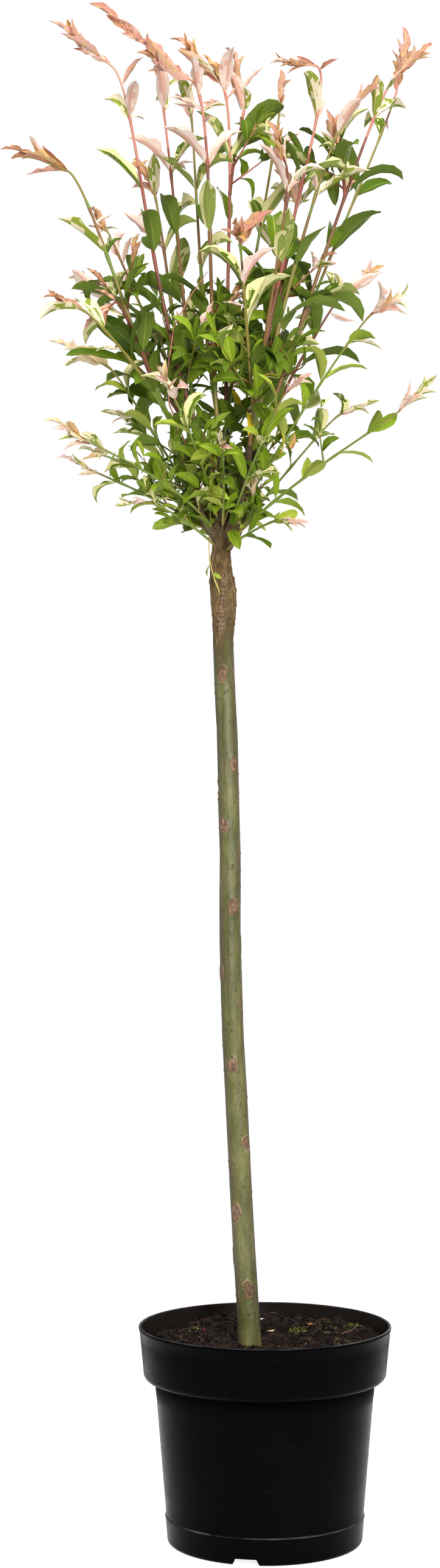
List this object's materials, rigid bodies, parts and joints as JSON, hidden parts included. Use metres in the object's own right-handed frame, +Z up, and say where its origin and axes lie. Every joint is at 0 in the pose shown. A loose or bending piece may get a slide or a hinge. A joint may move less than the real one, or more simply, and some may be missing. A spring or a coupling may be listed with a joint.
{
  "type": "dappled willow standard in a nursery pot",
  "caption": "Small standard tree: an open crown of upright variegated wands grafted on a slim bare stem, in a round plastic nursery pot of soil.",
  "frame": {"origin": "middle of the pot's flat underside, on the ground plane", "axes": "+Z up along the pot's axis, the plant's front towards -Y, +X to the right seen from the front"},
  "size_m": [0.3814, 0.3341, 1.371],
  "materials": {
    "pot_plastic": "satin black moulded plastic with light scuffs",
    "peat": "moist dark potting peat with fibres",
    "stem_bark": "smooth grey-green bark with lenticels and bud scars",
    "bough_bark": "young brown and olive bark",
    "wand_leaves": "satin leaves, green to cream and pink",
    "shoot_leaves": "satin leaves, green flecked with cream"
  },
  "bodies": {
    "root": {"pot": "pot_plastic", "soil": "peat", "trunk": "stem_bark", "bough_left": "bough_bark", "bough_far_left": "bough_bark", "bough_front": "bough_bark", "bough_front_right": "bough_bark", "bough_right": "bough_bark", "bough_far_right": "bough_bark", "bough_back": "bough_bark", "bough_back_left": "bough_bark", "bough_back_right": "bough_bark", "foliage_left": "wand_leaves", "foliage_far_left": "wand_leaves", "foliage_front": "wand_leaves", "foliage_front_right": "wand_leaves", "foliage_right": "wand_leaves", "foliage_far_right": "wand_leaves", "foliage_back": "wand_leaves", "foliage_back_left": "wand_leaves", "foliage_back_right": "wand_leaves", "shoot_left_upper": "shoot_leaves", "shoot_left_front": "shoot_leaves", "shoot_left_middle": "shoot_leaves", "shoot_left_low": "shoot_leaves", "shoot_right_upper": "shoot_leaves", "shoot_right_low": "shoot_leaves", "shoot_right_back": "shoot_leaves", "shoot_right_short": "shoot_leaves", "shoot_front_left": "shoot_leaves", "shoot_front_middle": "shoot_leaves", "shoot_front_right": "shoot_leaves", "shoot_back_right": "shoot_leaves", "shoot_back_middle": "shoot_leaves", "shoot_back_left": "shoot_leaves"}
  },
  "joints": []
}
